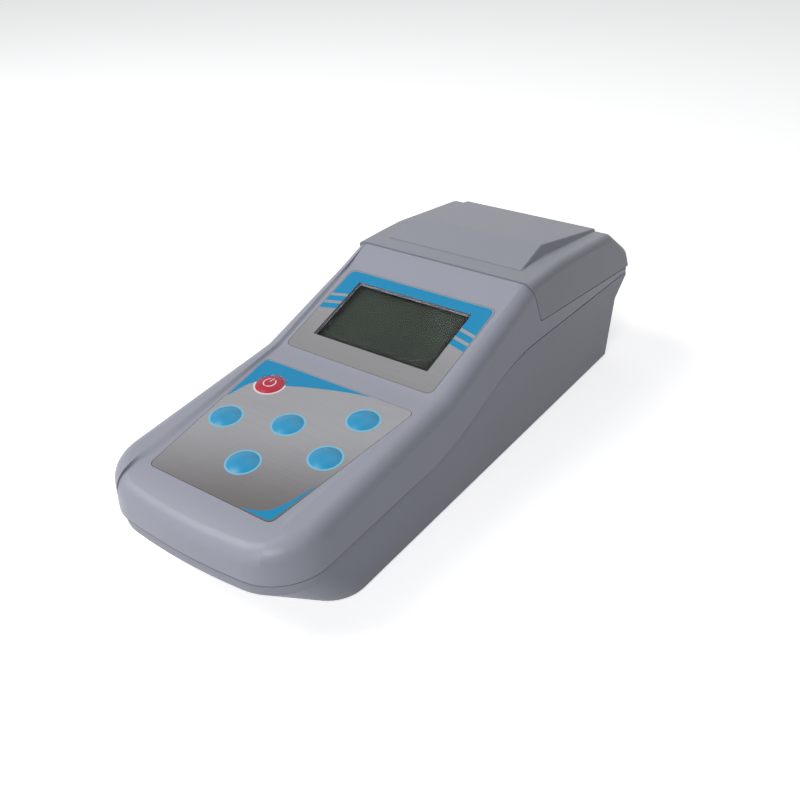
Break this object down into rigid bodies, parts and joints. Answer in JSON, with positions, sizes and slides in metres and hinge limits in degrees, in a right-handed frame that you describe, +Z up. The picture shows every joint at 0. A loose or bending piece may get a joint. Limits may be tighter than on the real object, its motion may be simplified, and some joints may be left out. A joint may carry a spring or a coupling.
{
  "type": "portable turbidity meter",
  "caption": "Hand-held turbidity meter with a wedge housing, sloped display, round keys and a hinged lid over the sample well.",
  "frame": {"origin": "middle of the underside, on the surface it stands on", "axes": "+Y to the rear, away from the keys; +Z up; +X to the right seen from the keys"},
  "size_m": [0.1, 0.2924, 0.0874],
  "materials": {
    "upper_case": "satin moulded blue-grey",
    "lower_case": "satin moulded darker blue-grey",
    "display_film": "printed film, blue band at the top edge",
    "keypad_film": "printed film, blue sweep round the edges",
    "window": "clear pane",
    "lcd": "dark green-grey segment display",
    "key_blue": "domed blue",
    "power_red": "domed red with a power mark",
    "black_plastic": "matt black",
    "seal_rubber": "soft black",
    "steel": "plain steel",
    "clear_lens": "clear optical plastic",
    "board": "glass fibre board",
    "cell_jacket": "plain cell jacket"
  },
  "bodies": {
    "housing": {"upper_shell": "upper_case", "lower_shell": "lower_case", "lid_hinge_pin": "steel", "cell_holder": "black_plastic", "well_seal": "seal_rubber", "well_collar": "black_plastic", "lamp": "clear_lens", "lamp_board": "board", "lamp_lens": "clear_lens", "transmitted_detector": "clear_lens", "transmitted_detector_board": "board", "scatter_detector": "clear_lens", "scatter_detector_board": "board", "display_label": "display_film", "display_window": "window", "lcd_glass": "lcd", "lcd_bezel": "black_plastic", "lcd_board": "board", "keypad_label": "keypad_film", "key_board": "board", "key_switches": "black_plastic", "main_board": "board", "board_screws": "steel", "case_screws": "steel", "battery_cells": "cell_jacket", "battery_contacts": "steel", "rubber_feet": "seal_rubber"},
    "lid": {"lid": "upper_case"},
    "battery_door": {"battery_door": "lower_case"},
    "power_key_cap": {"power_key": "power_red"},
    "key_right_upper_cap": {"key_right_upper": "key_blue"},
    "key_left_lower_cap": {"key_left_lower": "key_blue"},
    "key_right_lower_cap": {"key_right_lower": "key_blue"},
    "key_centre_upper_cap": {"key_centre_upper": "key_blue"},
    "key_centre_lower_cap": {"key_centre_lower": "key_blue"}
  },
  "joints": [
    {"name": "lid_hinge", "type": "hinge", "parent": "housing", "child": "lid", "pos_m": [0, 0.143, 0.0498], "axis": [-1, 0, 0], "range_deg": [0, 95]},
    {"name": "power_key_press", "type": "slide", "parent": "housing", "child": "power_key_cap", "axis": [0, 0.1075, -0.9942], "range_m": [0, 0.0005], "stiffness_N_per_m": 800, "springref_m": -0.0005},
    {"name": "key_right_upper_press", "type": "slide", "parent": "housing", "child": "key_right_upper_cap", "axis": [0, 0.1075, -0.9942], "range_m": [0, 0.0005], "stiffness_N_per_m": 800, "springref_m": -0.0005},
    {"name": "key_left_lower_press", "type": "slide", "parent": "housing", "child": "key_left_lower_cap", "axis": [0, 0.1075, -0.9942], "range_m": [0, 0.0005], "stiffness_N_per_m": 800, "springref_m": -0.0005},
    {"name": "key_right_lower_press", "type": "slide", "parent": "housing", "child": "key_right_lower_cap", "axis": [0, 0.1075, -0.9942], "range_m": [0, 0.0005], "stiffness_N_per_m": 800, "springref_m": -0.0005},
    {"name": "key_centre_upper_press", "type": "slide", "parent": "housing", "child": "key_centre_upper_cap", "axis": [0, 0.1075, -0.9942], "range_m": [0, 0.0005], "stiffness_N_per_m": 800, "springref_m": -0.0005},
    {"name": "key_centre_lower_press", "type": "slide", "parent": "housing", "child": "key_centre_lower_cap", "axis": [0, 0.1075, -0.9942], "range_m": [0, 0.0005], "stiffness_N_per_m": 800, "springref_m": -0.0005},
    {"name": "battery_door_hinge", "type": "hinge", "parent": "housing", "child": "battery_door", "pos_m": [0, -0.037, 0.0018], "axis": [1, 0, 0], "range_deg": [0, 50]}
  ]
}
